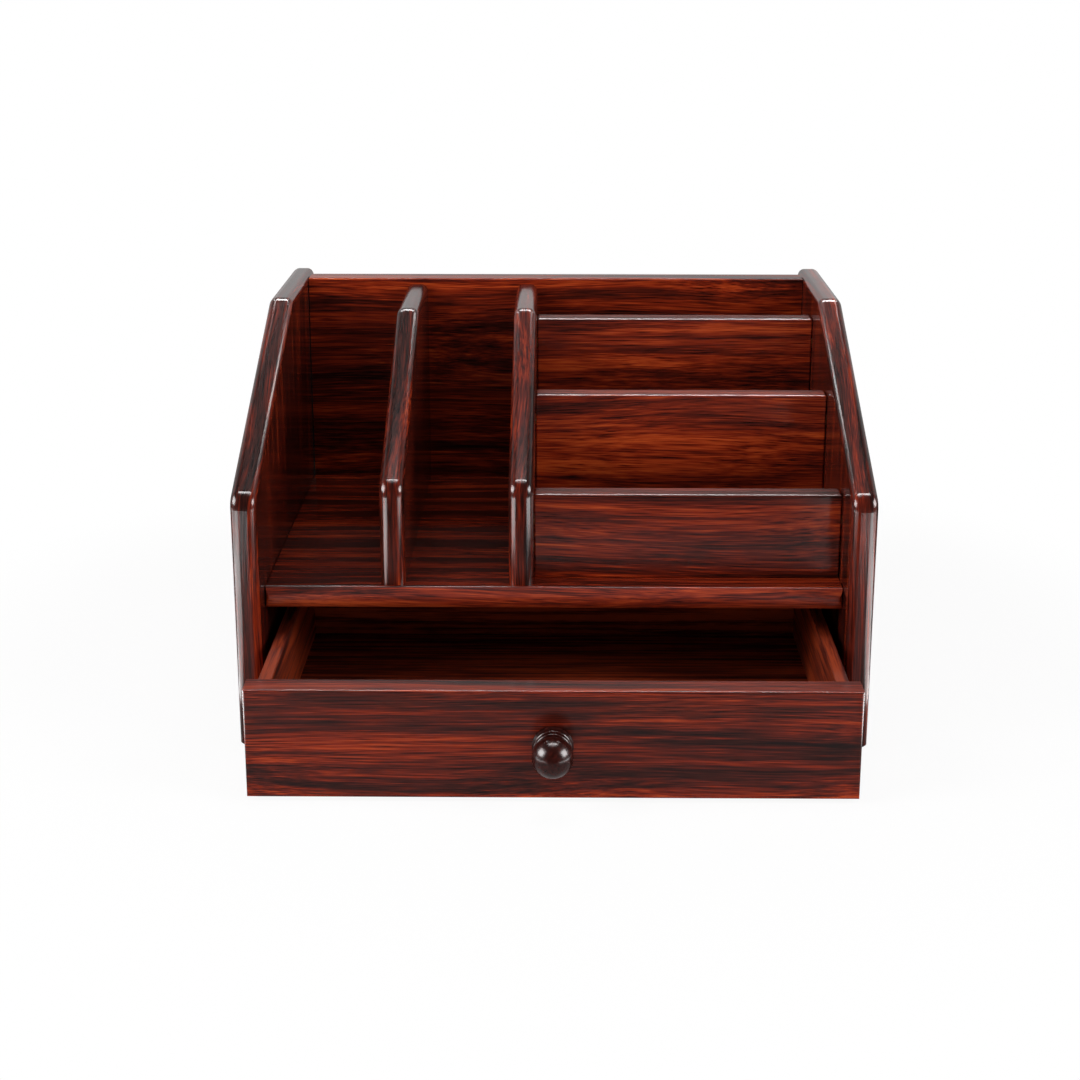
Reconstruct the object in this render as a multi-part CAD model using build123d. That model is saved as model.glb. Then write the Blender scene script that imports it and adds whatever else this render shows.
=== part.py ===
from build123d import *
import math
import os

# An envelope sorter with a drawer, in millimetres.
# X runs to the right, Y to the back and Z up. The origin is the centre of the
# case's footprint, on the surface that the case stands on.

# Case
case_width = 341.0
case_depth = 272.0
case_height = 215.5
side_thickness = 14.0
side_front_height = 140.0      # the side panels' front edge, up to the slope
side_flat_length = 105.0       # the level stretch at the back of their top
side_edge_radius = 4.5
foot_edge_width = 1.0          # the small bevel along their feet
nose_radius = 10.0             # where an upright board's front edge meets its slope
shoulder_radius = 12.0         # where the slope meets the level top
board_gap = 0.4                # left at each end of a board between two uprights

# Back panel
back_thickness = 18.0
back_inset = 14.0              # from the side panels' rear edges
back_drop = 1.0                # from the side panels' top
back_edge_radius = 1.5

# Shelf over the drawer
shelf_top = 85.0
shelf_thickness = 12.0
shelf_setback = 18.0           # from the side panels' front edges
shelf_nose_bulge = 2.5         # of its rounded front edge
shelf_edge_radius = 0.8
shelf_corner_radius = 2.0

# Base panel under the drawer
base_thickness = 6.0
base_rebate_depth = 8.0        # how far it reaches into each side panel
base_gap = 0.1
base_behind_drawer_front = 0.5

# Upright dividers
divider_thickness = 13.5
divider_setback = 22.0
divider_front_height = 140.5
divider_top_height = 211.0
divider_flat_start = 158.0     # where the level top begins, from the case's front
divider_edge_radius = 5.0
left_bay_width = 62.5
middle_bay_width = 56.0

# Panels of the letter slots
slot_panel_thickness = 14.0
slot_panel_setback = 36.0      # the front panel's face, from the case's front
slot_panel_spacing = 75.0
slot_panel_heights = {"front": 132.5, "middle": 170.0, "rear": 199.5}
slot_panel_edge_radius = 1.2
slot_panel_corner_radius = 0.8
slot_panel_foot_radius = 1.0

# Drawer
drawer_front_thickness = 15.5
drawer_front_bottom = 2.0
drawer_front_top = 60.5
drawer_front_gap = 0.5         # to each side panel
drawer_front_edge_radius = 1.0
drawer_recess = 2.0            # of the closed drawer's front, behind the case's front
drawer_opening = 70.0          # how far the drawer stands open at rest
drawer_side_thickness = 7.0
drawer_side_inset = 5.0        # from the drawer front's ends
drawer_side_top = 58.6
drawer_lift = 0.3              # between the drawer's sides and the base panel
drawer_inner_length = 178.0
drawer_back_thickness = 7.0
drawer_side_edge_radius = 0.6
drawer_floor_top = 18.0
drawer_floor_thickness = 4.0
groove_depth = 3.0
groove_gap = 0.1               # round the drawer's bottom in its grooves

# Guides on each side of the drawer
guide_gap = 0.5                # to the drawer's side
guide_height = 20.0
guide_stop_gap = 0.3           # to the closed drawer's front

# Knob, as distances from the drawer's face and radii
knob_flange_radius = 10.6
knob_flange_thickness = 1.8
knob_neck_radius = 8.4
knob_neck_start = 2.6
knob_ring_radius = 10.0
knob_ring_start = 3.4
knob_ring_end = 5.4
knob_groove_radius = 8.5
knob_collar_radius = 9.4
knob_collar_start = 6.2
knob_collar_end = 7.6
knob_throat_radius = 7.8
knob_ball_radius = 10.5
knob_ball_distance = 15.2
knob_bore_depth = 13.0

# Dowels and screws
dowel_radius = 3.0
dowel_length = 20.0
dowel_bite = 8.0               # the part of a dowel in the board that it ends in
small_dowel_radius = 2.0
drawer_dowel_length = 20.0
drawer_pin_radius = 1.5
drawer_pin_length = 20.0
drawer_pin_depth = 0.3         # of the pin's end below the drawer side's face
fit_gap = 0.05                 # round a dowel or a screw in its hole
hole_end_gap = 0.5             # at the end of a blind hole
screw_radius = 1.5
screw_head_radius = 2.9
screw_head_height = 1.6
screw_sink = 0.2               # of a countersunk head below the surface
base_screw_length = 15.0
guide_screw_length = 13.0
knob_screw_radius = 2.0
knob_screw_head_radius = 3.9
knob_screw_head_height = 2.4
knob_screw_bite = 12.0         # its length inside the knob
recess_width = 0.9
recess_depth = 1.2
recess_share = 0.6             # of the head's diameter that the recess spans

# Places of the dowels and screws
shelf_dowel_distances = (45.0, 125.0, 205.0)       # from the case's front
back_dowel_heights = (30.0, 118.0, 190.0)
divider_dowel_distances = (80.0, 150.0, 220.0)     # from the case's front
slot_dowel_inset = 16.0        # from the foot and from the top of a slot panel
base_screw_distances = (50.0, 128.0, 206.0)        # from the case's front
guide_screw_inset = 50.0       # from the guide's ends
drawer_dowel_inset = 9.0       # from the floor and from the top of the drawer's side

# Worked out from the sizes above
front_y = -case_depth / 2
rear_y = case_depth / 2
inner_half = case_width / 2 - side_thickness
back_rear_y = rear_y - back_inset
back_front_y = back_rear_y - back_thickness
back_top = case_height - back_drop
shelf_bottom = shelf_top - shelf_thickness
divider_left_x = -inner_half + left_bay_width + divider_thickness / 2
divider_right_x = divider_left_x + divider_thickness + middle_bay_width
slot_left_x = divider_right_x + divider_thickness / 2
drawer_face_y = front_y + drawer_recess - drawer_opening
drawer_front_rear_y = drawer_face_y + drawer_front_thickness
drawer_back_front_y = drawer_front_rear_y + drawer_inner_length
drawer_rear_y = drawer_back_front_y + drawer_back_thickness
drawer_half_width = inner_half - drawer_front_gap
drawer_box_half = drawer_half_width - drawer_side_inset
drawer_inner_half = drawer_box_half - drawer_side_thickness
drawer_side_bottom = base_thickness + drawer_lift
drawer_floor_bottom = drawer_floor_top - drawer_floor_thickness
closed_rear_of_front_y = front_y + drawer_recess + drawer_front_thickness
base_front_y = closed_rear_of_front_y + base_behind_drawer_front
guide_front_y = closed_rear_of_front_y + guide_stop_gap
knob_z = (drawer_front_bottom + drawer_front_top) / 2


def box_between(x_span, y_span, z_span):
    """A box from its lowest and highest X, Y and Z."""
    spans = (x_span, y_span, z_span)
    middle = [(low + high) / 2 for low, high in spans]
    size = [high - low for low, high in spans]
    return Pos(*middle) * Box(*size)


def rod(middle, direction, radius, length):
    """A cylinder about a middle point, along X, Y or Z."""
    turns = {"x": Rot(0, 90, 0), "y": Rot(90, 0, 0), "z": Rot(0, 0, 0)}
    return Pos(*middle) * turns[direction] * Cylinder(radius, length)


def joined(pieces):
    """Separate solids as one group."""
    return Compound(children=[piece.solid() for piece in pieces])


def drilled(board, tools):
    """The board with each tool taken out of it."""
    for tool in tools:
        board = board - tool
    return board


def is_near(value, place):
    """Whether two coordinates are the same, apart from rounding."""
    return abs(value - place) < 0.01


def edges_at(board, x=None, y=None, z=None):
    """The board's edges whose middle lies at all the given coordinates."""
    found = []
    for edge in board.edges():
        middle = edge.center()
        wanted = ((middle.X, x), (middle.Y, y), (middle.Z, z))
        if all(place is None or is_near(value, place) for value, place in wanted):
            found.append(edge)
    return found


def runs_across(edge):
    """Whether an edge of an upright board runs along X, through its thickness."""
    return abs(edge.tangent_at(0.5).X) > 0.5


def sloped_board(x_low, thickness, y_span, z_span, front_top_z, flat_start_y, radius, square_rear=False):
    """An upright board whose top slopes down to the front, with its long edges rounded."""
    front, rear = y_span
    low, high = z_span
    outline = Polyline(
        (front, low), (front, front_top_z), (flat_start_y, high), (rear, high), (rear, low), close=True
    )
    board = extrude(Plane.YZ.offset(x_low) * make_face(outline), thickness)
    middle_x = x_low + thickness / 2
    board = fillet(edges_at(board, x=middle_x, y=front, z=front_top_z), nose_radius)
    board = fillet(edges_at(board, x=middle_x, y=flat_start_y, z=high), shoulder_radius)
    rounded = []
    for edge in board.edges():
        middle = edge.center()
        at_foot = is_near(middle.Z, low)
        at_square_rear = square_rear and is_near(middle.Y, rear)
        if not (runs_across(edge) or at_foot or at_square_rear):
            rounded.append(edge)
    return fillet(rounded, radius)


# Dowels and their holes. A dowel that joins two boards runs along X and has
# dowel_bite of its length in the upright at face_x. "towards" is the side of
# that face where the board between the uprights lies.

def cross_dowel_middle(face_x, towards, y, z):
    return (face_x + towards * (dowel_length / 2 - dowel_bite), y, z)


def slot_panel_y(name):
    """The Y of a slot panel's front face."""
    order = list(slot_panel_heights).index(name)
    return front_y + slot_panel_setback + order * slot_panel_spacing


def shelf_dowel_middles(towards):
    face_x = -towards * inner_half
    z = (shelf_top + shelf_bottom) / 2
    return [cross_dowel_middle(face_x, towards, front_y + d, z) for d in shelf_dowel_distances]


def back_dowel_middles(towards):
    face_x = -towards * inner_half
    y = (back_front_y + back_rear_y) / 2
    return [cross_dowel_middle(face_x, towards, y, z) for z in back_dowel_heights]


def slot_dowel_middles(name, towards):
    """The dowels at one end of a slot panel: 1 for its left end, -1 for its right end."""
    face_x = slot_left_x if towards > 0 else inner_half
    y = slot_panel_y(name) + slot_panel_thickness / 2
    heights = (shelf_top + slot_dowel_inset, slot_panel_heights[name] - slot_dowel_inset)
    return [cross_dowel_middle(face_x, towards, y, z) for z in heights]


def all_slot_dowel_middles(towards):
    return [middle for name in slot_panel_heights for middle in slot_dowel_middles(name, towards)]


def divider_dowel_middles(divider_x):
    z = shelf_top + dowel_length / 2 - dowel_bite
    return [(divider_x, front_y + d, z) for d in divider_dowel_distances]


def drawer_dowel_heights():
    return (drawer_floor_top + drawer_dowel_inset, drawer_side_top - drawer_dowel_inset)


def drawer_front_dowel_middles(side):
    x = side * (drawer_box_half - drawer_side_thickness / 2)
    y = drawer_front_rear_y + drawer_dowel_length / 2 - dowel_bite
    return [(x, y, z) for z in drawer_dowel_heights()]


def drawer_pin_middles(side):
    x = side * (drawer_box_half - drawer_pin_depth - drawer_pin_length / 2)
    y = drawer_back_front_y + drawer_back_thickness / 2
    return [(x, y, z) for z in drawer_dowel_heights()]


def dowels(middles, direction, radius, length):
    return [rod(middle, direction, radius, length) for middle in middles]


def dowel_holes(middles, direction, radius, length):
    return dowels(middles, direction, radius + fit_gap, length + 2 * hole_end_gap)


def countersunk_screw(length, gap):
    """A countersunk screw along -Z with its head's face at the origin, grown by a gap."""
    head_radius = screw_head_radius + gap
    shank_radius = screw_radius + gap
    outline = Polyline(
        (0, 0), (head_radius, 0), (shank_radius, -screw_head_height - gap),
        (shank_radius, -length), (0, -length), close=True,
    )
    return revolve(Plane.XZ * make_face(outline), Axis.Z)


def cross_recess(head_radius):
    """The recess in a screw's head at the origin, as two crossed slots."""
    slot_length = 2 * head_radius * recess_share
    slot = Pos(0, 0, -recess_depth / 2) * Box(slot_length, recess_width, recess_depth)
    return [slot, Rot(0, 0, 90) * slot]


def base_screw_places():
    """Where each base screw's head lies, turned to point up into the side panel."""
    x = inner_half + base_rebate_depth / 2
    return [
        Pos(side * x, front_y + distance, screw_sink) * Rot(180, 0, 0)
        for side in (-1, 1)
        for distance in base_screw_distances
    ]


def guide_screw_places(side):
    """Where each guide screw's head lies, turned to point out into the side panel."""
    x = drawer_box_half + guide_gap + screw_sink
    z = base_thickness + guide_height / 2
    ends = (guide_front_y + guide_screw_inset, back_front_y - guide_screw_inset)
    return [Pos(side * x, y, z) * Rot(0, -side * 90, 0) for y in ends]


def screw_holes(places, length):
    """Holes for countersunk screws, open at the head's side."""
    hole = countersunk_screw(length + hole_end_gap, fit_gap)
    mouth = Pos(0, 0, screw_sink / 2) * Cylinder(screw_head_radius + fit_gap, screw_sink)
    return [place * tool for place in places for tool in (hole, mouth)]


def screws(places, length):
    screw = drilled(countersunk_screw(length, 0.0), cross_recess(screw_head_radius))
    return joined([place * screw for place in places])


# Case boards

def base_panel_box(gap):
    half = inner_half + base_rebate_depth
    return box_between(
        (-half + gap, half - gap), (base_front_y, back_front_y), (0.0, base_thickness)
    )


def side_panel(side):
    x_low = inner_half if side > 0 else -case_width / 2
    board = sloped_board(
        x_low, side_thickness, (front_y, rear_y), (0.0, case_height),
        side_front_height, rear_y - side_flat_length, side_edge_radius,
    )
    foot_edges = [edge for edge in edges_at(board, z=0.0) if edge.length > side_thickness]
    board = chamfer(foot_edges, foot_edge_width)
    tools = [base_panel_box(0.0)]
    tools += dowel_holes(shelf_dowel_middles(-side), "x", dowel_radius, dowel_length)
    tools += dowel_holes(back_dowel_middles(-side), "x", dowel_radius, dowel_length)
    tools += screw_holes(base_screw_places(), base_screw_length)
    tools += screw_holes(guide_screw_places(side), guide_screw_length)
    if side > 0:
        tools += dowel_holes(all_slot_dowel_middles(-1), "x", dowel_radius, dowel_length)
    return drilled(board, tools)


def back_panel():
    half = inner_half - board_gap
    board = box_between((-half, half), (back_front_y, back_rear_y), (0.0, back_top))
    top_edges = edges_at(board, x=0, y=back_front_y, z=back_top)
    top_edges += edges_at(board, x=0, y=back_rear_y, z=back_top)
    board = fillet(top_edges, back_edge_radius)
    holes = []
    for towards in (-1, 1):
        holes += dowel_holes(back_dowel_middles(towards), "x", dowel_radius, dowel_length)
    return drilled(board, holes)


def main_shelf():
    half = inner_half - board_gap
    shelf_front_y = front_y + shelf_setback
    edge_y = shelf_front_y + shelf_nose_bulge
    nose = ThreePointArc(
        (edge_y, shelf_top), (shelf_front_y, (shelf_top + shelf_bottom) / 2), (edge_y, shelf_bottom)
    )
    rest = Polyline(
        (edge_y, shelf_bottom), (back_front_y, shelf_bottom), (back_front_y, shelf_top), (edge_y, shelf_top)
    )
    section = make_face([nose, *rest.edges()])
    board = extrude(Plane.YZ.offset(-half) * section, 2 * half)
    board = fillet(edges_at(board, x=0, y=edge_y), shelf_edge_radius)
    plan = box_between((-half, half), (shelf_front_y, back_front_y), (shelf_bottom, shelf_top))
    plan = fillet(edges_at(plan, x=-half, y=shelf_front_y), shelf_corner_radius)
    plan = fillet(edges_at(plan, x=half, y=shelf_front_y), shelf_corner_radius)
    board = board & plan
    holes = []
    for towards in (-1, 1):
        holes += dowel_holes(shelf_dowel_middles(towards), "x", dowel_radius, dowel_length)
    for divider_x in (divider_left_x, divider_right_x):
        holes += dowel_holes(divider_dowel_middles(divider_x), "z", dowel_radius, dowel_length)
    return drilled(board, holes)


def base_panel():
    return drilled(base_panel_box(base_gap), screw_holes(base_screw_places(), base_screw_length))


def divider(divider_x, holds_slot_panels):
    board = sloped_board(
        divider_x - divider_thickness / 2, divider_thickness,
        (front_y + divider_setback, back_front_y), (shelf_top, divider_top_height),
        divider_front_height, front_y + divider_flat_start, divider_edge_radius, square_rear=True,
    )
    holes = dowel_holes(divider_dowel_middles(divider_x), "z", dowel_radius, dowel_length)
    if holds_slot_panels:
        holes += dowel_holes(all_slot_dowel_middles(1), "x", dowel_radius, dowel_length)
    return drilled(board, holes)


def slot_panel(name):
    left_x = slot_left_x + board_gap
    right_x = inner_half - board_gap
    face_y = slot_panel_y(name)
    rear = face_y + slot_panel_thickness
    top = slot_panel_heights[name]
    board = box_between((left_x, right_x), (face_y, rear), (shelf_top, top))
    middle_x = (left_x + right_x) / 2
    corners = edges_at(board, x=left_x, y=face_y) + edges_at(board, x=right_x, y=face_y)
    board = fillet([edge for edge in corners if not is_near(edge.length, slot_panel_thickness)],
                   slot_panel_corner_radius)
    board = fillet(edges_at(board, x=middle_x, z=top), slot_panel_edge_radius)
    foot = edges_at(board, x=middle_x, y=face_y, z=shelf_top)
    board = fillet(foot, slot_panel_foot_radius)
    holes = []
    for towards in (-1, 1):
        holes += dowel_holes(slot_dowel_middles(name, towards), "x", dowel_radius, dowel_length)
    return drilled(board, holes)


def drawer_guide(side):
    near = side * (drawer_box_half + guide_gap)
    far = side * inner_half
    board = box_between(
        (min(near, far), max(near, far)), (guide_front_y, back_front_y),
        (base_thickness, base_thickness + guide_height),
    )
    return drilled(board, screw_holes(guide_screw_places(side), guide_screw_length))


# Drawer

def drawer_floor_box(gap, reach):
    """The drawer's bottom, grown by a gap above and below, reaching into the grooves."""
    return box_between(
        (-drawer_inner_half - reach, drawer_inner_half + reach),
        (drawer_front_rear_y - reach, drawer_back_front_y + reach),
        (drawer_floor_bottom - gap, drawer_floor_top + gap),
    )


def drawer_groove():
    return drawer_floor_box(groove_gap, groove_depth)


def drawer_front():
    board = box_between(
        (-drawer_half_width, drawer_half_width), (drawer_face_y, drawer_front_rear_y),
        (drawer_front_bottom, drawer_front_top),
    )
    eased = edges_at(board, y=drawer_face_y) + edges_at(board, z=drawer_front_top, y=drawer_front_rear_y)
    board = fillet(eased, drawer_front_edge_radius)
    screw_length = drawer_front_thickness + 2 * hole_end_gap
    screw_middle = (0, (drawer_face_y + drawer_front_rear_y) / 2, knob_z)
    tools = [drawer_groove(), rod(screw_middle, "y", knob_screw_radius + fit_gap, screw_length)]
    for side in (-1, 1):
        middles = drawer_front_dowel_middles(side)
        tools += dowel_holes(middles, "y", small_dowel_radius, drawer_dowel_length)
    return drilled(board, tools)


def drawer_side(side):
    near = side * drawer_inner_half
    far = side * drawer_box_half
    board = box_between(
        (min(near, far), max(near, far)), (drawer_front_rear_y, drawer_rear_y),
        (drawer_side_bottom, drawer_side_top),
    )
    middle_y = (drawer_front_rear_y + drawer_rear_y) / 2
    board = fillet(edges_at(board, y=middle_y, z=drawer_side_top), drawer_side_edge_radius)
    tools = [drawer_groove()]
    middles = drawer_front_dowel_middles(side)
    tools += dowel_holes(middles, "y", small_dowel_radius, drawer_dowel_length)
    pin_middles = drawer_pin_middles(side)
    tools += dowel_holes(pin_middles, "x", drawer_pin_radius, drawer_pin_length)
    return drilled(board, tools)


def drawer_back():
    board = box_between(
        (-drawer_inner_half, drawer_inner_half), (drawer_back_front_y, drawer_rear_y),
        (drawer_side_bottom, drawer_side_top),
    )
    top_edges = edges_at(board, x=0, z=drawer_side_top)
    board = fillet(top_edges, drawer_side_edge_radius)
    tools = [drawer_groove()]
    for side in (-1, 1):
        tools += dowel_holes(drawer_pin_middles(side), "x", drawer_pin_radius, drawer_pin_length)
    return drilled(board, tools)


def drawer_bottom():
    return drawer_floor_box(0.0, groove_depth - hole_end_gap)


def drawer_knob():
    ball_start = knob_ball_distance - math.sqrt(knob_ball_radius**2 - knob_throat_radius**2)
    ball_end = knob_ball_distance + knob_ball_radius
    shaft = Polyline(
        (0, 0),
        (knob_flange_radius, 0),
        (knob_flange_radius, knob_flange_thickness),
        (knob_neck_radius, knob_neck_start),
        (knob_neck_radius, knob_ring_start),
    )
    ring = ThreePointArc(
        (knob_neck_radius, knob_ring_start),
        (knob_ring_radius, (knob_ring_start + knob_ring_end) / 2),
        (knob_groove_radius, knob_ring_end),
    )
    groove = Polyline((knob_groove_radius, knob_ring_end), (knob_groove_radius, knob_collar_start))
    collar = ThreePointArc(
        (knob_groove_radius, knob_collar_start),
        (knob_collar_radius, (knob_collar_start + knob_collar_end) / 2),
        (knob_throat_radius, knob_collar_end),
    )
    throat = Polyline((knob_throat_radius, knob_collar_end), (knob_throat_radius, ball_start))
    ball = ThreePointArc(
        (knob_throat_radius, ball_start),
        (knob_ball_radius, knob_ball_distance),
        (0, ball_end),
    )
    axis_line = Polyline((0, ball_end), (0, 0))
    outline = [*shaft.edges(), ring, *groove.edges(), collar, *throat.edges(), ball, *axis_line.edges()]
    face = make_face(outline)
    turned = revolve(Plane.XZ * face, Axis.Z)
    bore = Pos(0, 0, knob_bore_depth / 2) * Cylinder(knob_screw_radius + fit_gap, knob_bore_depth)
    return Pos(0, drawer_face_y, knob_z) * Rot(90, 0, 0) * (turned - bore)


def knob_screw():
    length = drawer_front_thickness + knob_screw_bite
    shank = Pos(0, 0, -length / 2) * Cylinder(knob_screw_radius, length)
    head = Pos(0, 0, knob_screw_head_height / 2) * Cylinder(knob_screw_head_radius, knob_screw_head_height)
    rim = head.edges().filter_by(GeomType.CIRCLE).sort_by(Axis.Z)[-1]
    head = fillet(rim, knob_screw_head_height / 2)
    recess = [Pos(0, 0, knob_screw_head_height) * slot for slot in cross_recess(knob_screw_head_radius)]
    screw = drilled(head + shank, recess)
    return Pos(0, drawer_front_rear_y, knob_z) * Rot(-90, 0, 0) * screw


def both_sides(middles_of, direction, radius, length):
    middles = middles_of(-1) + middles_of(1)
    return joined(dowels(middles, direction, radius, length))


def all_parts():
    divider_middles = divider_dowel_middles(divider_left_x) + divider_dowel_middles(divider_right_x)
    guide_places = guide_screw_places(-1) + guide_screw_places(1)
    parts = {
        "side_panel_left": side_panel(-1),
        "side_panel_right": side_panel(1),
        "back_panel": back_panel(),
        "main_shelf": main_shelf(),
        "base_panel": base_panel(),
        "divider_left": divider(divider_left_x, False),
        "divider_right": divider(divider_right_x, True),
        "drawer_guide_left": drawer_guide(-1),
        "drawer_guide_right": drawer_guide(1),
        "shelf_dowels": both_sides(shelf_dowel_middles, "x", dowel_radius, dowel_length),
        "back_panel_dowels": both_sides(back_dowel_middles, "x", dowel_radius, dowel_length),
        "divider_dowels": joined(dowels(divider_middles, "z", dowel_radius, dowel_length)),
        "slot_panel_dowels": both_sides(all_slot_dowel_middles, "x", dowel_radius, dowel_length),
        "base_screws": screws(base_screw_places(), base_screw_length),
        "guide_screws": screws(guide_places, guide_screw_length),
        "drawer_front": drawer_front(),
        "drawer_side_left": drawer_side(-1),
        "drawer_side_right": drawer_side(1),
        "drawer_back": drawer_back(),
        "drawer_bottom": drawer_bottom(),
        "drawer_knob": drawer_knob(),
        "knob_screw": knob_screw(),
        "drawer_front_dowels": both_sides(
            drawer_front_dowel_middles, "y", small_dowel_radius, drawer_dowel_length
        ),
        "drawer_back_pins": both_sides(drawer_pin_middles, "x", drawer_pin_radius, drawer_pin_length),
    }
    for name in slot_panel_heights:
        parts["slot_panel_" + name] = slot_panel(name)
    return parts


os.makedirs("parts", exist_ok=True)
for node, shape in all_parts().items():
    export_step(shape, f"parts/{node}.step")
    print(node, round(shape.volume), "mm3")
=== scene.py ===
import math

import bpy
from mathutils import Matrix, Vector

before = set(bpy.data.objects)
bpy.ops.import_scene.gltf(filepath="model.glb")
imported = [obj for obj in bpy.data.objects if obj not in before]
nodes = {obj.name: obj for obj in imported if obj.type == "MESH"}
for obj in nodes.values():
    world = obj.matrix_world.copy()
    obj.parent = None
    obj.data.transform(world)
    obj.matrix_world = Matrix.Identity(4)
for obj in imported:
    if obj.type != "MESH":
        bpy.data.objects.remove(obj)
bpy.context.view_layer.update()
print("frame loaded:", len(nodes), "nodes")

scene = bpy.context.scene
scene.view_settings.view_transform = "Standard"


def toLinear(hexColour):
    # sRGB hex to the linear colour that shader sockets take
    parts = [int(hexColour[i:i + 2], 16) / 255 for i in (1, 3, 5)]
    return [c / 12.92 if c <= 0.04045 else ((c + 0.055) / 1.055) ** 2.4 for c in parts] + [1.0]


def addNode(tree, kind, settings=None, inputs=None, stops=None):
    # settings are the node's properties, inputs are values or the outputs linked to them,
    # and stops are a colour ramp's (position, hex) pairs
    node = tree.nodes.new(kind)
    for name, value in (settings or {}).items():
        setattr(node, name, value)
    for socket, value in (inputs or {}).items():
        if isinstance(value, bpy.types.NodeSocket):
            tree.links.new(value, node.inputs[socket])
        else:
            node.inputs[socket].default_value = value
    if stops:
        ramp = node.color_ramp
        while len(ramp.elements) < len(stops):
            ramp.elements.new(0.5)   # each one gets its own position just below
        for element, (position, colour) in zip(ramp.elements, stops):
            element.position = position
            element.color = toLinear(colour)
    return node


def newMaterial(name):
    material = bpy.data.materials.new(name)
    material.use_nodes = True
    material.node_tree.nodes.clear()
    return material, material.node_tree


def wear(nodeName, material):
    mesh = nodes[nodeName].data
    mesh.materials.clear()
    mesh.materials.append(material)


# turns a board's own lengthwise axis onto X, so that every texture runs along X
grainTurns = {
    "x": (0.0, 0.0, 0.0),
    "y": (0.0, 0.0, math.radians(-90)),
    "z": (0.0, math.radians(90), 0.0),
}


def millimetres(length, width):
    # a mapping scale that makes one noise cell length x width x width mm
    return (1000 / length, 1000 / width, 1000 / width)


# Indian rosewood, planed, stained red-brown and finished in several coats of rubbed lacquer:
# long dark and orange-red streaks under a smooth skin that turns grey-mauve at a low angle.
rosewood = {
    "colours": [(0.31, "#130504"), (0.43, "#32100a"), (0.52, "#54170c"),
                (0.61, "#80260f"), (0.76, "#b4481d")],
    "bandSize": (380, 9.0),       # mm, long tone changes that run the whole board
    "bandDetail": 2.0,
    "streakSize": (120, 1.7),     # mm, the figure's dark and bright lines
    "streakDetail": 3.0,
    "fibreSize": (26, 0.60),      # mm, vessels, drawn about three times as coarse so they show
    "fibreDetail": 2.0,
    "noiseRoughness": 0.55,
    "waveSize": (170, 45),        # mm, how far apart the lines swing
    "waveDepth": 0.014,           # m, how far they swing
    "bandShare": 0.62,
    "streakShare": 0.42,
    "fibreShare": 0.46,
    "poresFrom": 0.42,            # fibre noise below this starts to be a pore
    "poresTo": 0.30,              # and here it is fully one
    "poreDepth": 0.55,            # how dark the open pores are
    "roughness": 0.16,
    "fibreRoughness": 0.06,
    "index": 1.5,
    "gloss": 0.14,                # specular level: rubbed lacquer over a dark open grain
    "rubbingRoughness": 0.5,      # the wide gleam from the fine rubbing marks
    "rubbingIndex": 1.2,
    "grainDepth": 0.00005,        # m
    "grainStrength": 0.5,
    "flatFace": 0.97,             # |normal X| of an upright's broad faces, less on its edges
}

# grain is the direction of the board's length, cut is where in the log it was sawn (m),
# warmth moves it to orange-red (+) or to brown-black (-), and rubbing is how much of the wide
# gleam its faces have. The painted edge light and polished belong to one edge of a board: the
# axis that the edge faces along, the normal's part on that axis where it starts and where it is
# full, and the added warmth or the rubbing there. That added warmth is painted light: the face
# turned that way is coloured lighter and redder, as if more light fell on it.
rosewoodBoards = {
    "side_panel_left": {"grain": "z", "cut": (0.11, 0.37, 0.20), "warmth": -0.02,
                        "edges": True, "rubbing": 0.08},
    "side_panel_right": {"grain": "z", "cut": (0.62, 0.13, 0.48), "warmth": -0.02,
                         "edges": True, "rubbing": 0.08},
    "divider_left": {"grain": "z", "cut": (0.93, 0.55, 0.31), "warmth": -0.01,
                     "edges": True, "rubbing": 0.08},
    "divider_right": {"grain": "z", "cut": (0.27, 0.71, 0.83), "warmth": -0.01,
                      "edges": True, "rubbing": 0.08},
    "back_panel": {"grain": "x", "cut": (0.41, 0.29, 0.65), "warmth": 0.0,
                   "gloss": 0.04, "rubbing": 0.03, "paintedEdgeLight": ("Z", 0.5, 0.6, 0.08)},
    "main_shelf": {"grain": "x", "cut": (0.77, 0.90, 0.12), "warmth": 0.0, "rubbing": 0.05,
                   "paintedEdgeLight": ("Y", -0.5, -0.6, 0.08), "polished": ("Y", -0.15, -0.35, 1.0)},
    "slot_panel_front": {"grain": "x", "cut": (0.19, 0.46, 0.93), "warmth": 0.055,
                         "gloss": 0.28, "rubbing": 0.08, "polished": ("Z", 0.3, 0.6, 0.65)},
    "slot_panel_middle": {"grain": "x", "cut": (0.58, 0.08, 0.37), "warmth": 0.06,
                          "gloss": 0.4, "rubbing": 0.08, "polished": ("Z", 0.3, 0.6, 0.65)},
    "slot_panel_rear": {"grain": "x", "cut": (0.86, 0.64, 0.54), "warmth": 0.05,
                        "gloss": 0.4, "rubbing": 0.08, "polished": ("Z", 0.3, 0.6, 0.65)},
    "drawer_front": {"grain": "x", "cut": (0.34, 0.82, 0.76), "warmth": -0.01, "rubbing": 0.15,
                     "paintedEdgeLight": ("Z", 0.5, 0.6, 0.06), "polished": ("Z", 0.3, 0.6, 0.5)},
}


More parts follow.
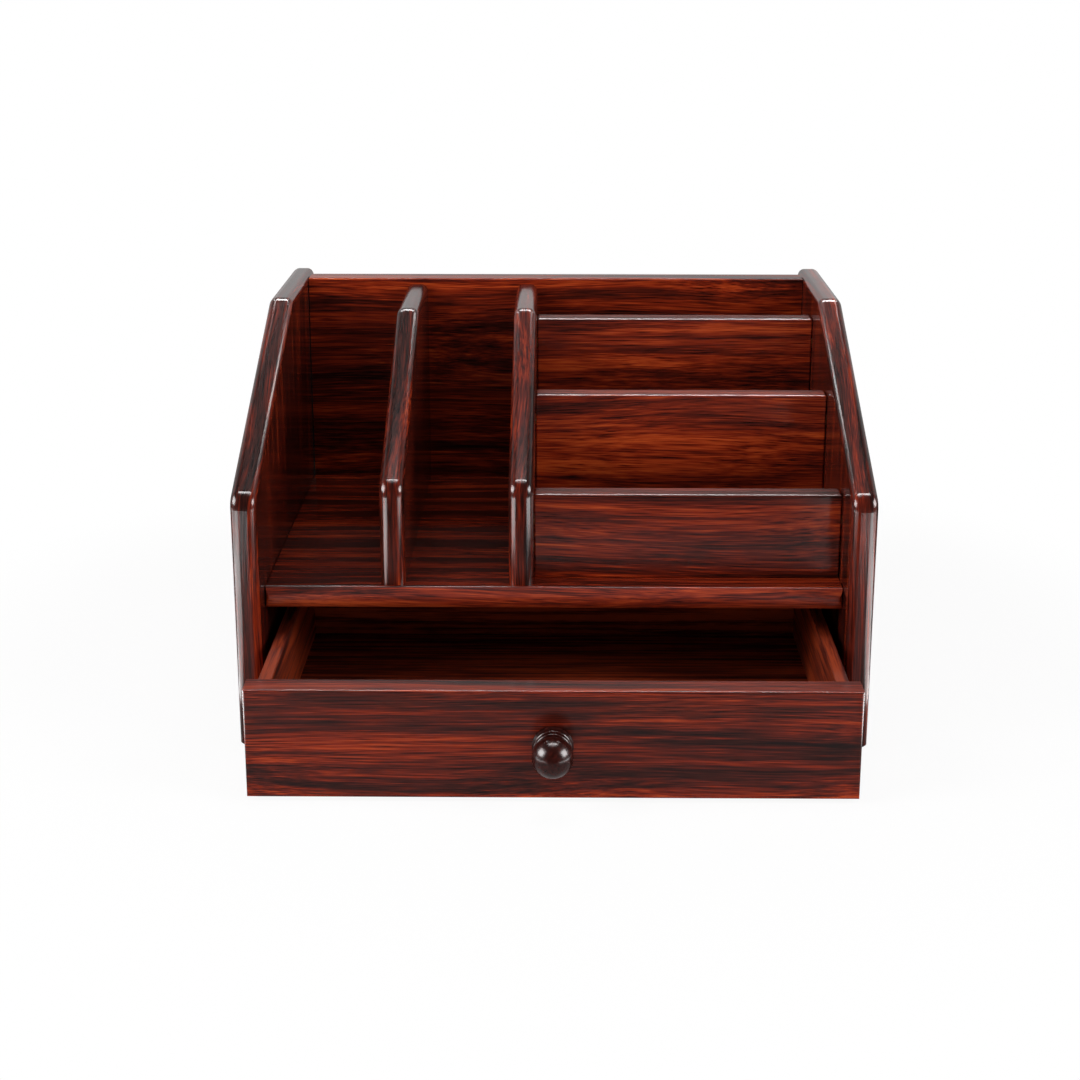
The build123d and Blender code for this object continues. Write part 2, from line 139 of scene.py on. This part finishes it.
def lacqueredRosewood(board, plan):
    material, tree = newMaterial("lacquered_rosewood_" + board)
    place = addNode(tree, "ShaderNodeTexCoord")
    along = addNode(tree, "ShaderNodeMapping", inputs={
        "Vector": place.outputs["Object"], "Rotation": grainTurns[plan["grain"]],
        "Location": plan["cut"]})
    grain = along.outputs["Vector"]
    facing = addNode(tree, "ShaderNodeSeparateXYZ", inputs={"Vector": place.outputs["Normal"]})
    if plan.get("edges"):
        # the narrow edges carry a facing strip whose grain follows the edge round
        spot = addNode(tree, "ShaderNodeSeparateXYZ", inputs={"Vector": place.outputs["Object"]})
        lengthwise = addNode(tree, "ShaderNodeMath", {"operation": "ADD"}, {
            0: spot.outputs["Y"], 1: spot.outputs["Z"]})
        strip = addNode(tree, "ShaderNodeCombineXYZ", inputs={
            "X": lengthwise.outputs[0], "Y": spot.outputs["X"], "Z": plan["cut"][0]})
        sideways = addNode(tree, "ShaderNodeMath", {"operation": "ABSOLUTE"}, {
            0: facing.outputs["X"]})
        onFace = addNode(tree, "ShaderNodeMath", {"operation": "GREATER_THAN"}, {
            0: sideways.outputs[0], 1: rosewood["flatFace"]})
        # a mix node's inputs 4 and 5 are its vectors, 6 and 7 its colours
        chosen = addNode(tree, "ShaderNodeMix", {"data_type": "VECTOR"}, {
            0: onFace.outputs[0], 4: strip.outputs["Vector"], 5: grain})
        grain = chosen.outputs[1]

    # the lines swing a little from side to side
    waveScale = addNode(tree, "ShaderNodeVectorMath", {"operation": "MULTIPLY"}, {
        0: grain, 1: millimetres(*rosewood["waveSize"])})
    wave = addNode(tree, "ShaderNodeTexNoise", inputs={
        "Vector": waveScale.outputs[0], "Scale": 1.0, "Detail": 0.0})
    swing = addNode(tree, "ShaderNodeVectorMath", {"operation": "MULTIPLY_ADD"}, {
        0: wave.outputs["Color"], 1: (0.0, rosewood["waveDepth"], rosewood["waveDepth"]),
        2: grain})

    layers = []
    for layer in ("band", "streak", "fibre"):
        stretched = addNode(tree, "ShaderNodeVectorMath", {"operation": "MULTIPLY"}, {
            0: swing.outputs[0], 1: millimetres(*rosewood[layer + "Size"])})
        layers.append(addNode(tree, "ShaderNodeTexNoise", inputs={
            "Vector": stretched.outputs[0], "Scale": 1.0, "Detail": rosewood[layer + "Detail"],
            "Roughness": rosewood["noiseRoughness"]}))
    bands, streaks, fibres = layers

    # the three layers add up round a middle of 0.5
    shares = rosewood["bandShare"] + rosewood["streakShare"] + rosewood["fibreShare"]
    withBands = addNode(tree, "ShaderNodeMath", {"operation": "MULTIPLY_ADD"}, {
        0: bands.outputs["Fac"], 1: rosewood["bandShare"],
        2: plan["warmth"] + 0.5 - shares / 2})
    withStreaks = addNode(tree, "ShaderNodeMath", {"operation": "MULTIPLY_ADD"}, {
        0: streaks.outputs["Fac"], 1: rosewood["streakShare"], 2: withBands.outputs[0]})
    figure = addNode(tree, "ShaderNodeMath", {"operation": "MULTIPLY_ADD"}, {
        0: fibres.outputs["Fac"], 1: rosewood["fibreShare"], 2: withStreaks.outputs[0]})
    if plan.get("paintedEdgeLight"):
        # painted light: the face turned this way (the shelf's front, the back panel's and drawer
        # front's tops) is coloured lighter and redder, as if more light fell on it
        axis, startsAt, fullAt, paintedLighter = plan["paintedEdgeLight"]
        strip = addNode(tree, "ShaderNodeMapRange", inputs={
            "Value": facing.outputs[axis], "From Min": startsAt, "From Max": fullAt,
            "To Max": paintedLighter})
        figure = addNode(tree, "ShaderNodeMath", {"operation": "ADD"}, {
            0: figure.outputs[0], 1: strip.outputs["Result"]})
    rubbing = plan["rubbing"]
    if plan.get("polished"):
        # an edge that hands touch has been polished to a wider gleam
        axis, startsAt, fullAt, shine = plan["polished"]
        rubbed = addNode(tree, "ShaderNodeMapRange", inputs={
            "Value": facing.outputs[axis], "From Min": startsAt, "From Max": fullAt,
            "To Min": rubbing, "To Max": shine})
        rubbing = rubbed.outputs["Result"]

    tone = addNode(tree, "ShaderNodeValToRGB", inputs={"Fac": figure.outputs[0]},
                   stops=rosewood["colours"])
    pores = addNode(tree, "ShaderNodeMapRange", {"interpolation_type": "SMOOTHSTEP"}, {
        "Value": fibres.outputs["Fac"], "From Min": rosewood["poresFrom"],
        "From Max": rosewood["poresTo"], "To Max": rosewood["poreDepth"]})
    colour = addNode(tree, "ShaderNodeMix", {"data_type": "RGBA"}, {
        0: pores.outputs["Result"], 6: tone.outputs["Color"],
        7: toLinear(rosewood["colours"][0][1])})
    rough = addNode(tree, "ShaderNodeMath", {"operation": "MULTIPLY_ADD"}, {
        0: fibres.outputs["Fac"], 1: rosewood["fibreRoughness"],
        2: rosewood["roughness"] - rosewood["fibreRoughness"] / 2})
    relief = addNode(tree, "ShaderNodeBump", inputs={
        "Height": fibres.outputs["Fac"], "Strength": rosewood["grainStrength"],
        "Distance": rosewood["grainDepth"]})
    surface = addNode(tree, "ShaderNodeBsdfPrincipled", inputs={
        "Base Color": colour.outputs[2], "Roughness": rough.outputs[0],
        "IOR": rosewood["index"], "Specular IOR Level": plan.get("gloss", rosewood["gloss"]),
        "Coat Weight": rubbing, "Coat Roughness": rosewood["rubbingRoughness"],
        "Coat IOR": rosewood["rubbingIndex"], "Normal": relief.outputs["Normal"]})
    addNode(tree, "ShaderNodeOutputMaterial", inputs={"Surface": surface.outputs["BSDF"]})
    return material


for board, plan in rosewoodBoards.items():
    wear(board, lacqueredRosewood(board, plan))
print("rosewood boards:", len(rosewoodBoards))

# Paulownia drawer stock, sawn, sanded and wiped with red-brown stain, left without lacquer:
# plain straight grain, salmon where light falls flat on it, with hardly any shine.
drawerWood = {
    "colours": [(0.38, "#2a0a05"), (0.50, "#561a0c"), (0.62, "#8a3416")],
    "streakSize": (90, 3.0),      # mm, growth rings
    "streakDetail": 3.0,
    "fibreSize": (14, 0.7),       # mm, pores, drawn about three times as coarse so they show
    "fibreDetail": 2.0,
    "noiseRoughness": 0.5,
    "streakShare": 0.75,
    "fibreShare": 0.30,
    "roughness": 0.52,
    "fibreRoughness": 0.15,
    "index": 1.45,
    "gloss": 0.06,
    "grainDepth": 0.00012,        # m
    "grainStrength": 0.6,
}
drawerWoodBoards = {
    "drawer_side_left": {"grain": "y", "cut": (0.15, 0.44, 0.09), "warmth": 0.05},
    "drawer_side_right": {"grain": "y", "cut": (0.52, 0.18, 0.66), "warmth": 0.05},
    "drawer_back": {"grain": "x", "cut": (0.81, 0.35, 0.27), "warmth": 0.08},
    "drawer_bottom": {"grain": "x", "cut": (0.29, 0.92, 0.58), "warmth": 0.02},
    "base_panel": {"grain": "x", "cut": (0.67, 0.51, 0.73), "warmth": 0.0},
    "drawer_guide_left": {"grain": "y", "cut": (0.38, 0.26, 0.84), "warmth": 0.0},
    "drawer_guide_right": {"grain": "y", "cut": (0.73, 0.69, 0.16), "warmth": 0.0},
}


def stainedDrawerWood(board, plan):
    material, tree = newMaterial("stained_drawer_wood_" + board)
    place = addNode(tree, "ShaderNodeTexCoord")
    along = addNode(tree, "ShaderNodeMapping", inputs={
        "Vector": place.outputs["Object"], "Rotation": grainTurns[plan["grain"]],
        "Location": plan["cut"]})
    layers = []
    for layer in ("streak", "fibre"):
        stretched = addNode(tree, "ShaderNodeVectorMath", {"operation": "MULTIPLY"}, {
            0: along.outputs["Vector"], 1: millimetres(*drawerWood[layer + "Size"])})
        layers.append(addNode(tree, "ShaderNodeTexNoise", inputs={
            "Vector": stretched.outputs[0], "Scale": 1.0, "Detail": drawerWood[layer + "Detail"],
            "Roughness": drawerWood["noiseRoughness"]}))
    streaks, fibres = layers
    shares = drawerWood["streakShare"] + drawerWood["fibreShare"]
    withStreaks = addNode(tree, "ShaderNodeMath", {"operation": "MULTIPLY_ADD"}, {
        0: streaks.outputs["Fac"], 1: drawerWood["streakShare"],
        2: plan["warmth"] + 0.5 - shares / 2})
    figure = addNode(tree, "ShaderNodeMath", {"operation": "MULTIPLY_ADD"}, {
        0: fibres.outputs["Fac"], 1: drawerWood["fibreShare"], 2: withStreaks.outputs[0]})
    colour = addNode(tree, "ShaderNodeValToRGB", inputs={"Fac": figure.outputs[0]},
                     stops=drawerWood["colours"])
    relief = addNode(tree, "ShaderNodeBump", inputs={
        "Height": fibres.outputs["Fac"], "Strength": drawerWood["grainStrength"],
        "Distance": drawerWood["grainDepth"]})
    rough = addNode(tree, "ShaderNodeMath", {"operation": "MULTIPLY_ADD"}, {
        0: fibres.outputs["Fac"], 1: drawerWood["fibreRoughness"],
        2: drawerWood["roughness"] - drawerWood["fibreRoughness"] / 2})
    surface = addNode(tree, "ShaderNodeBsdfPrincipled", inputs={
        "Base Color": colour.outputs["Color"], "Roughness": rough.outputs[0],
        "IOR": drawerWood["index"], "Specular IOR Level": drawerWood["gloss"],
        "Normal": relief.outputs["Normal"]})
    addNode(tree, "ShaderNodeOutputMaterial", inputs={"Surface": surface.outputs["BSDF"]})
    return material


for board, plan in drawerWoodBoards.items():
    wear(board, stainedDrawerWood(board, plan))
print("drawer boards:", len(drawerWoodBoards))

# Schima hardwood, lathe-turned, stained near black and dipped in thick gloss lacquer:
# mirror-like spots of light, and only a hint of red grain where it is lit.
knobWood = {
    "colours": [(0.30, "#1c0705"), (0.52, "#2a0b07"), (0.74, "#3a110b")],
    "cut": (0.21, 0.34, 0.05),    # m, where in the log it was sawn
    "streakSize": (24, 1.6),      # mm, grain along the knob's axis
    "streakDetail": 3.0,
    "noiseRoughness": 0.55,
    "turningSize": 0.5,           # mm between the lathe's faint rings
    "turningDepth": 0.000002,     # m
    "turningStrength": 0.3,
    "roughness": 0.22,
    "streakRoughness": 0.06,
    "index": 1.5,
    "gloss": 0.17,
}


def turnedKnobWood():
    material, tree = newMaterial("turned_knob_wood")
    place = addNode(tree, "ShaderNodeTexCoord")
    along = addNode(tree, "ShaderNodeMapping", inputs={
        "Vector": place.outputs["Object"], "Rotation": grainTurns["y"],
        "Location": knobWood["cut"]})
    stretched = addNode(tree, "ShaderNodeVectorMath", {"operation": "MULTIPLY"}, {
        0: along.outputs["Vector"], 1: millimetres(*knobWood["streakSize"])})
    streaks = addNode(tree, "ShaderNodeTexNoise", inputs={
        "Vector": stretched.outputs[0], "Scale": 1.0, "Detail": knobWood["streakDetail"],
        "Roughness": knobWood["noiseRoughness"]})
    colour = addNode(tree, "ShaderNodeValToRGB", inputs={"Fac": streaks.outputs["Fac"]},
                     stops=knobWood["colours"])
    spot = addNode(tree, "ShaderNodeSeparateXYZ", inputs={"Vector": place.outputs["Object"]})
    rings = addNode(tree, "ShaderNodeMath", {"operation": "MULTIPLY"}, {
        0: spot.outputs["Y"], 1: math.tau * 1000 / knobWood["turningSize"]})
    ripple = addNode(tree, "ShaderNodeMath", {"operation": "SINE"}, {0: rings.outputs[0]})
    relief = addNode(tree, "ShaderNodeBump", inputs={
        "Height": ripple.outputs[0], "Strength": knobWood["turningStrength"],
        "Distance": knobWood["turningDepth"]})
    rough = addNode(tree, "ShaderNodeMath", {"operation": "MULTIPLY_ADD"}, {
        0: streaks.outputs["Fac"], 1: knobWood["streakRoughness"],
        2: knobWood["roughness"] - knobWood["streakRoughness"] / 2})
    surface = addNode(tree, "ShaderNodeBsdfPrincipled", inputs={
        "Base Color": colour.outputs["Color"], "Roughness": rough.outputs[0],
        "IOR": knobWood["index"], "Specular IOR Level": knobWood["gloss"],
        "Normal": relief.outputs["Normal"]})
    addNode(tree, "ShaderNodeOutputMaterial", inputs={"Surface": surface.outputs["BSDF"]})
    return material


wear("drawer_knob", turnedKnobWood())
print("knob done")

# Beech, turned to rod and left bare: pale straw with short darker flecks and a dry surface.
beechDowel = {
    "colours": [(0.35, "#b98a5c"), (0.50, "#cfa376"), (0.66, "#dcb78d")],
    "fleckSize": (4.0, 0.4),      # mm, the ray flecks
    "fleckDetail": 2.0,
    "fleckDepth": 0.00005,        # m
    "fleckStrength": 0.4,
    "roughness": 0.62,
    "index": 1.45,
    "gloss": 0.3,
    "pieces": ["shelf_dowels", "back_panel_dowels", "divider_dowels", "slot_panel_dowels",
               "drawer_front_dowels", "drawer_back_pins"],
}


def turnedBeech():
    material, tree = newMaterial("beech_dowel")
    place = addNode(tree, "ShaderNodeTexCoord")
    stretched = addNode(tree, "ShaderNodeVectorMath", {"operation": "MULTIPLY"}, {
        0: place.outputs["Object"], 1: millimetres(*beechDowel["fleckSize"])})
    flecks = addNode(tree, "ShaderNodeTexNoise", inputs={
        "Vector": stretched.outputs[0], "Scale": 1.0, "Detail": beechDowel["fleckDetail"]})
    colour = addNode(tree, "ShaderNodeValToRGB", inputs={"Fac": flecks.outputs["Fac"]},
                     stops=beechDowel["colours"])
    relief = addNode(tree, "ShaderNodeBump", inputs={
        "Height": flecks.outputs["Fac"], "Strength": beechDowel["fleckStrength"],
        "Distance": beechDowel["fleckDepth"]})
    surface = addNode(tree, "ShaderNodeBsdfPrincipled", inputs={
        "Base Color": colour.outputs["Color"], "Roughness": beechDowel["roughness"],
        "IOR": beechDowel["index"], "Specular IOR Level": beechDowel["gloss"],
        "Normal": relief.outputs["Normal"]})
    addNode(tree, "ShaderNodeOutputMaterial", inputs={"Surface": surface.outputs["BSDF"]})
    return material


beech = turnedBeech()
for piece in beechDowel["pieces"]:
    wear(piece, beech)

# Carbon steel screws, cold-headed and bright zinc plated: pale blue-grey metal, slightly cloudy.
zincScrew = {
    "colours": [(0.35, "#9fa3a6"), (0.65, "#bdc0c1")],
    "cloudSize": 1.2,             # mm
    "cloudDetail": 3.0,
    "roughness": 0.30,
    "cloudRoughness": 0.2,
    "pieces": ["base_screws", "guide_screws", "knob_screw"],
}


def platedSteel():
    material, tree = newMaterial("zinc_plated_steel")
    place = addNode(tree, "ShaderNodeTexCoord")
    clouds = addNode(tree, "ShaderNodeTexNoise", inputs={
        "Vector": place.outputs["Object"], "Scale": 1000 / zincScrew["cloudSize"],
        "Detail": zincScrew["cloudDetail"]})
    colour = addNode(tree, "ShaderNodeValToRGB", inputs={"Fac": clouds.outputs["Fac"]},
                     stops=zincScrew["colours"])
    rough = addNode(tree, "ShaderNodeMath", {"operation": "MULTIPLY_ADD"}, {
        0: clouds.outputs["Fac"], 1: zincScrew["cloudRoughness"],
        2: zincScrew["roughness"] - zincScrew["cloudRoughness"] / 2})
    surface = addNode(tree, "ShaderNodeBsdfPrincipled", inputs={
        "Base Color": colour.outputs["Color"], "Metallic": 1.0, "Roughness": rough.outputs[0]})
    addNode(tree, "ShaderNodeOutputMaterial", inputs={"Surface": surface.outputs["BSDF"]})
    return material


zinc = platedSteel()
for piece in zincScrew["pieces"]:
    wear(piece, zinc)
print("dowels and screws done")

# A matt white paper sweep: white out to its rim, with the object's soft shadow near the middle.
floorPaper = {
    "colour": "#f4f4f4",
    "radius": 0.46,               # m, a small round table top
    "rimPoints": 96,
    "level": -0.0005,             # m, just under the object's feet
    "toothScale": 900.0,          # cells per metre, so the paper's tooth is 1.1 mm
    "toothDetail": 2.0,
    "toothDepth": 0.0001,         # m
    "toothStrength": 0.1,
    "shadowFrom": 0.28,           # m from the middle, the shadow starts to fade here
    "shadowTo": 0.455,            # m, and is gone here
    "whiteShare": 0.92,           # how much of the paper the camera sees as plain white
}


def whiteFloor():
    mesh = bpy.data.meshes.new("paper_floor")
    count = floorPaper["rimPoints"]
    rim = [(floorPaper["radius"] * math.cos(math.tau * k / count),
            floorPaper["radius"] * math.sin(math.tau * k / count),
            floorPaper["level"]) for k in range(count)]
    mesh.from_pydata(rim, [], [list(range(count))])
    floor = bpy.data.objects.new("paper_floor", mesh)
    scene.collection.objects.link(floor)
    material, tree = newMaterial("paper_sweep")
    place = addNode(tree, "ShaderNodeTexCoord")
    distance = addNode(tree, "ShaderNodeVectorMath", {"operation": "LENGTH"}, {
        0: place.outputs["Object"]})
    fade = addNode(tree, "ShaderNodeMapRange", {"interpolation_type": "SMOOTHSTEP"}, {
        "Value": distance.outputs["Value"], "From Min": floorPaper["shadowFrom"],
        "From Max": floorPaper["shadowTo"], "To Min": floorPaper["whiteShare"], "To Max": 1.0})
    tooth = addNode(tree, "ShaderNodeTexNoise", inputs={
        "Vector": place.outputs["Object"], "Scale": floorPaper["toothScale"],
        "Detail": floorPaper["toothDetail"]})
    relief = addNode(tree, "ShaderNodeBump", inputs={
        "Height": tooth.outputs["Fac"], "Strength": floorPaper["toothStrength"],
        "Distance": floorPaper["toothDepth"]})
    paper = addNode(tree, "ShaderNodeBsdfDiffuse", inputs={
        "Color": toLinear(floorPaper["colour"]), "Normal": relief.outputs["Normal"]})
    white = addNode(tree, "ShaderNodeEmission", inputs={
        "Color": (1, 1, 1, 1), "Strength": 1.0})
    ray = addNode(tree, "ShaderNodeLightPath")
    seen = addNode(tree, "ShaderNodeMath", {"operation": "MULTIPLY"}, {
        0: ray.outputs["Is Camera Ray"], 1: fade.outputs["Result"]})
    both = addNode(tree, "ShaderNodeMixShader", inputs={
        0: seen.outputs[0], 1: paper.outputs["BSDF"], 2: white.outputs["Emission"]})
    addNode(tree, "ShaderNodeOutputMaterial", inputs={"Surface": both.outputs["Shader"]})
    mesh.materials.append(material)


whiteFloor()
print("floor laid")

# lamps and reflection cards round the table, and the white room
studio = {
    "ambient": 0.16,              # the room's own light on the object, white is 1
    "backdrop": 0.8,              # what glossy pieces see of the white backdrop
    "darkFront": 0.05,            # and of the dim room in front of the table and below it
    # the backdrop fades in between these parts of a glossy ray's direction
    "tableEdge": (-0.10, 0.02),   # upward part
    "sideEdge": (-0.75, -0.15),   # backward part
    "ceilingEdge": (0.80, 0.45),  # upward part, dark above and full below
    # place (m), what it points at (m), width and height (m), brightness beside white;
    # a dull lamp doesn't show in the lacquer
    "lamps": {
        "key_left": {"at": (-1.10, -0.62, 0.78), "to": (0.0, -0.10, 0.1),
                     "size": (0.65, 0.80), "glow": 8.0},
        "key_right": {"at": (1.10, -0.62, 0.70), "to": (0.0, -0.10, 0.1),
                      "size": (0.55, 0.75), "glow": 7.5},
        "front_fill": {"at": (0.0, -1.20, 0.18), "to": (0.0, -0.10, 0.10),
                       "size": (0.80, 0.22), "glow": 4.4, "dull": True},
        "overhead": {"at": (0.0, -0.10, 1.35), "to": (0.0, -0.05, 0.1),
                     "size": (0.60, 0.30), "glow": 6.5},
    },
    # white cards that only show as reflections in the lacquer
    "cards": {
        # the white spots on the uprights' noses and on the knob
        "side_card_left": {"at": (-1.10, -0.35, 0.62), "to": (0.0, -0.12, 0.1),
                           "size": (0.80, 0.60), "glow": 36},
        "side_card_right": {"at": (1.10, -0.35, 0.58), "to": (0.0, -0.12, 0.1),
                            "size": (0.70, 0.55), "glow": 36},
        # the grey-mauve bands down the uprights' front edges
        "low_card_left": {"at": (-1.05, -0.60, -0.35), "to": (-0.1, -0.1, -0.05),
                          "size": (1.8, 0.60), "glow": 10},
        "low_card_right": {"at": (1.05, -0.70, -0.35), "to": (0.1, -0.1, -0.05),
                           "size": (1.5, 0.60), "glow": 10},
        "table_card_left": {"at": (-0.36, -0.34, 0.001), "to": (-0.36, -0.34, 1.0),
                            "size": (0.26, 0.50), "glow": 16},
        "table_card_right": {"at": (0.36, -0.34, 0.001), "to": (0.36, -0.34, 1.0),
                             "size": (0.26, 0.50), "glow": 16},
        # the thin line along the slot panels' and the shelf's front edges
        "crown_card": {"at": (0.0, 1.00, 1.26), "to": (0.0, 0.0, 0.15),
                       "size": (0.90, 0.09), "glow": 80},
        "top_card": {"at": (0.0, 0.12, 1.32), "to": (0.0, -0.05, 0.1),
                     "size": (0.90, 0.14), "glow": 55},
        # the thin line down the inner edges of the uprights' slopes
        "rear_card_left": {"at": (-0.46, 0.62, 0.85), "to": (0.0, 0.0, 0.15),
                           "size": (0.05, 0.36), "glow": 32},
        "rear_card_right": {"at": (0.46, 0.62, 0.85), "to": (0.0, 0.0, 0.15),
                            "size": (0.05, 0.36), "glow": 32},
    },
}


def hangLamp(name, plan, card):
    width, height = plan["size"]
    lamp = bpy.data.lights.new(name, "AREA")
    lamp.shape = "RECTANGLE"
    lamp.size, lamp.size_y = width, height
    lamp.energy = plan["glow"] * math.pi * width * height   # W that give this brightness
    holder = bpy.data.objects.new(name, lamp)
    holder.location = plan["at"]
    aim = Vector(plan["to"]) - Vector(plan["at"])
    holder.rotation_euler = aim.to_track_quat("-Z", "Y").to_euler()
    holder.visible_camera = False
    holder.visible_glossy = not plan.get("dull")
    if card:
        holder.visible_diffuse = False
    scene.collection.objects.link(holder)


def lightStudio():
    world = bpy.data.worlds.new("white_room")
    scene.world = world
    world.use_nodes = True
    tree = world.node_tree
    tree.nodes.clear()
    ray = addNode(tree, "ShaderNodeLightPath")
    way = addNode(tree, "ShaderNodeTexCoord")
    side = addNode(tree, "ShaderNodeSeparateXYZ", inputs={"Vector": way.outputs["Generated"]})
    # the backdrop is what lies above the table, behind it and under the ceiling
    backdrop = None
    for axis, edge in (("Z", "tableEdge"), ("Y", "sideEdge"), ("Z", "ceilingEdge")):
        part = addNode(tree, "ShaderNodeMapRange", {"interpolation_type": "SMOOTHSTEP"}, {
            "Value": side.outputs[axis], "From Min": studio[edge][0],
            "From Max": studio[edge][1]}).outputs["Result"]
        backdrop = part if backdrop is None else addNode(
            tree, "ShaderNodeMath", {"operation": "MULTIPLY"}, {0: backdrop, 1: part}).outputs[0]
    seenRoom = addNode(tree, "ShaderNodeMapRange", inputs={
        "Value": backdrop, "To Min": studio["darkFront"], "To Max": studio["backdrop"]})
    mirrored = addNode(tree, "ShaderNodeMath", {"operation": "MAXIMUM"}, {
        0: ray.outputs["Is Glossy Ray"], 1: ray.outputs["Is Transmission Ray"]})
    room = addNode(tree, "ShaderNodeBackground", inputs={
        "Color": (1, 1, 1, 1), "Strength": studio["ambient"]})
    reflected = addNode(tree, "ShaderNodeBackground", inputs={
        "Color": (1, 1, 1, 1), "Strength": seenRoom.outputs["Result"]})
    white = addNode(tree, "ShaderNodeBackground", inputs={
        "Color": (1, 1, 1, 1), "Strength": 1.0})
    inGloss = addNode(tree, "ShaderNodeMixShader", inputs={
        0: mirrored.outputs[0], 1: room.outputs["Background"],
        2: reflected.outputs["Background"]})
    both = addNode(tree, "ShaderNodeMixShader", inputs={
        0: ray.outputs["Is Camera Ray"], 1: inGloss.outputs["Shader"],
        2: white.outputs["Background"]})
    addNode(tree, "ShaderNodeOutputWorld", inputs={"Surface": both.outputs["Shader"]})
    for name, plan in studio["lamps"].items():
        hangLamp(name, plan, card=False)
    for name, plan in studio["cards"].items():
        hangLamp(name, plan, card=True)


lightStudio()
print("studio lit")

# the camera that took the photograph
photoCamera = {
    "at": (0.00288, -1.09601, 0.42721),   # m
    "down": 16.229,                       # degrees below level
    "turn": 0.6,                          # degrees to the left
    "lens": 63.85,                        # mm
    "sensor": 36.0,                       # mm wide
    "shift": -0.05,                       # the photograph was straightened a little
}
lensData = bpy.data.cameras.new("photo_camera")
lensData.lens = photoCamera["lens"]
lensData.sensor_width = photoCamera["sensor"]
lensData.shift_y = photoCamera["shift"]
camera = bpy.data.objects.new("photo_camera", lensData)
camera.location = photoCamera["at"]
camera.rotation_euler = (math.radians(90 - photoCamera["down"]), 0.0,
                         math.radians(photoCamera["turn"]))
scene.collection.objects.link(camera)
bpy.context.scene.camera = camera
print("camera set")
